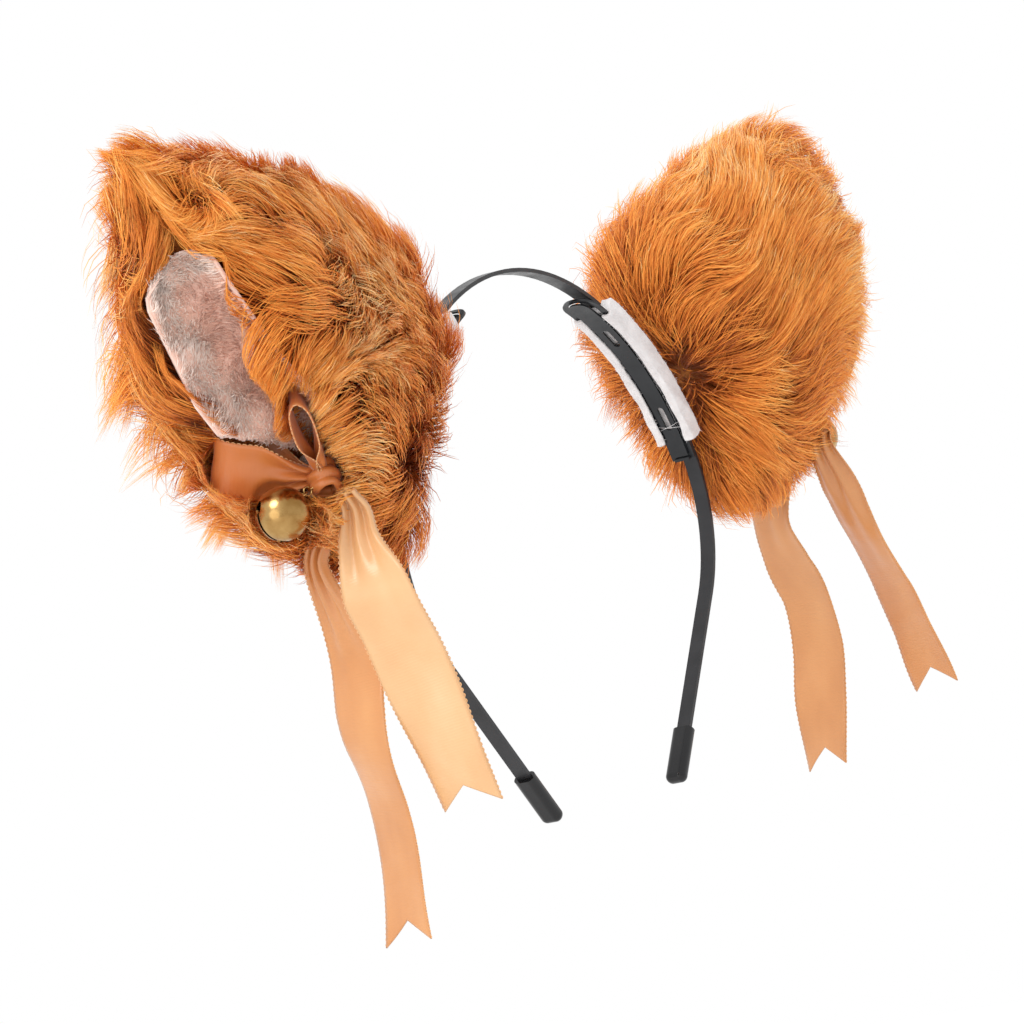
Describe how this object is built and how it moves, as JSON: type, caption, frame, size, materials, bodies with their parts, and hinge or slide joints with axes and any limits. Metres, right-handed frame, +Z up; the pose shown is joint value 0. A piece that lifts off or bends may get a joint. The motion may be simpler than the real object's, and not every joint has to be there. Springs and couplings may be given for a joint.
{
  "type": "animal ears headband",
  "caption": "Thin spring headband with two long-pile fur ears on snap clips, each with a plush lining, a satin ribbon bow with hanging tails and a jingle bell.",
  "frame": {"origin": "centre of the crown arc, the middle of the space that the wearer's head fills", "axes": "+Z up out of the crown, +X to the right-hand ear seen from the front, -Y forward"},
  "size_m": [0.2814, 0.0561, 0.1683],
  "materials": {
    "band_enamel": "satin",
    "cap_rubber": "gloss",
    "fur": "long pile",
    "foam": "soft",
    "lining_plush": "short pile",
    "felt": "matte",
    "clip_enamel": "satin",
    "satin_ribbon": "satin",
    "bell_brass": "satin",
    "pellet_steel": "satin"
  },
  "bodies": {
    "band": {"headband_band": "band_enamel", "left_tip_cap": "cap_rubber", "right_tip_cap": "cap_rubber"},
    "left_ear": {"left_bow_inner_loop": "satin_ribbon", "left_bow_knot": "satin_ribbon", "left_bow_outer_loop": "satin_ribbon", "left_bow_tie_wire": "bell_brass", "left_clip_crimp": "clip_enamel", "left_clip_frame": "clip_enamel", "left_ear_foam_core": "foam", "left_ear_fur_shell": "fur", "left_ear_lining": "lining_plush", "left_felt_sleeve": "felt", "left_front_ribbon_tail": "satin_ribbon", "left_rear_ribbon_tail": "satin_ribbon"},
    "left_clip_tongue": {"left_clip_tongue": "clip_enamel"},
    "left_jump_ring": {"left_bell_jump_ring": "bell_brass"},
    "left_bell": {"left_bell_upper_shell": "bell_brass", "left_bell_lower_shell": "bell_brass", "left_bell_shank": "bell_brass"},
    "left_bell_pellet": {"left_bell_pellet": "pellet_steel"},
    "right_ear": {"right_bow_inner_loop": "satin_ribbon", "right_bow_knot": "satin_ribbon", "right_bow_outer_loop": "satin_ribbon", "right_bow_tie_wire": "bell_brass", "right_clip_crimp": "clip_enamel", "right_clip_frame": "clip_enamel", "right_ear_foam_core": "foam", "right_ear_fur_shell": "fur", "right_ear_lining": "lining_plush", "right_felt_sleeve": "felt", "right_front_ribbon_tail": "satin_ribbon", "right_rear_ribbon_tail": "satin_ribbon"},
    "right_clip_tongue": {"right_clip_tongue": "clip_enamel"},
    "right_jump_ring": {"right_bell_jump_ring": "bell_brass"},
    "right_bell": {"right_bell_upper_shell": "bell_brass", "right_bell_lower_shell": "bell_brass", "right_bell_shank": "bell_brass"},
    "right_bell_pellet": {"right_bell_pellet": "pellet_steel"}
  },
  "joints": [
    {"name": "left_ear_shift", "type": "hinge", "parent": "band", "child": "left_ear", "pos_m": [0, 0, 0], "axis": [0, 1, 0], "range_deg": [-5, 5]},
    {"name": "left_clip_snap", "type": "hinge", "parent": "left_ear", "child": "left_clip_tongue", "pos_m": [-0.05843, 0, 0.02396], "axis": [0, 1, 0], "range_deg": [0, 25]},
    {"name": "left_ring_swing", "type": "hinge", "parent": "left_ear", "child": "left_jump_ring", "pos_m": [-0.10553, -0.00864, 0.02809], "axis": [-0.4472, -0.8944, 0], "range_deg": [-10, 30]},
    {"name": "left_bell_swing", "type": "hinge", "parent": "left_jump_ring", "child": "left_bell", "pos_m": [-0.1066, -0.0081, 0.02748], "axis": [-0.402, 0.201, 0.8933], "range_deg": [-18, 18]},
    {"name": "left_pellet_roll", "type": "hinge", "parent": "left_bell", "child": "left_bell_pellet", "pos_m": [-0.11192, -0.00544, 0.02449], "axis": [-0.4472, -0.8944, 0], "continuous": true},
    {"name": "right_ear_shift", "type": "hinge", "parent": "band", "child": "right_ear", "pos_m": [0, 0, 0], "axis": [0, 1, 0], "range_deg": [-5, 5]},
    {"name": "right_clip_snap", "type": "hinge", "parent": "right_ear", "child": "right_clip_tongue", "pos_m": [0.05996, 0, 0.01982], "axis": [0, -1, 0], "range_deg": [0, 25]},
    {"name": "right_ring_swing", "type": "hinge", "parent": "right_ear", "child": "right_jump_ring", "pos_m": [0.10737, -0.00864, 0.02091], "axis": [-0.4472, 0.8944, 0], "range_deg": [-10, 30]},
    {"name": "right_bell_swing", "type": "hinge", "parent": "right_jump_ring", "child": "right_bell", "pos_m": [0.10845, -0.0081, 0.0203], "axis": [0.402, 0.201, 0.8933], "range_deg": [-18, 18]},
    {"name": "right_pellet_roll", "type": "hinge", "parent": "right_bell", "child": "right_bell_pellet", "pos_m": [0.11376, -0.00544, 0.01731], "axis": [-0.4472, 0.8944, 0], "continuous": true}
  ]
}
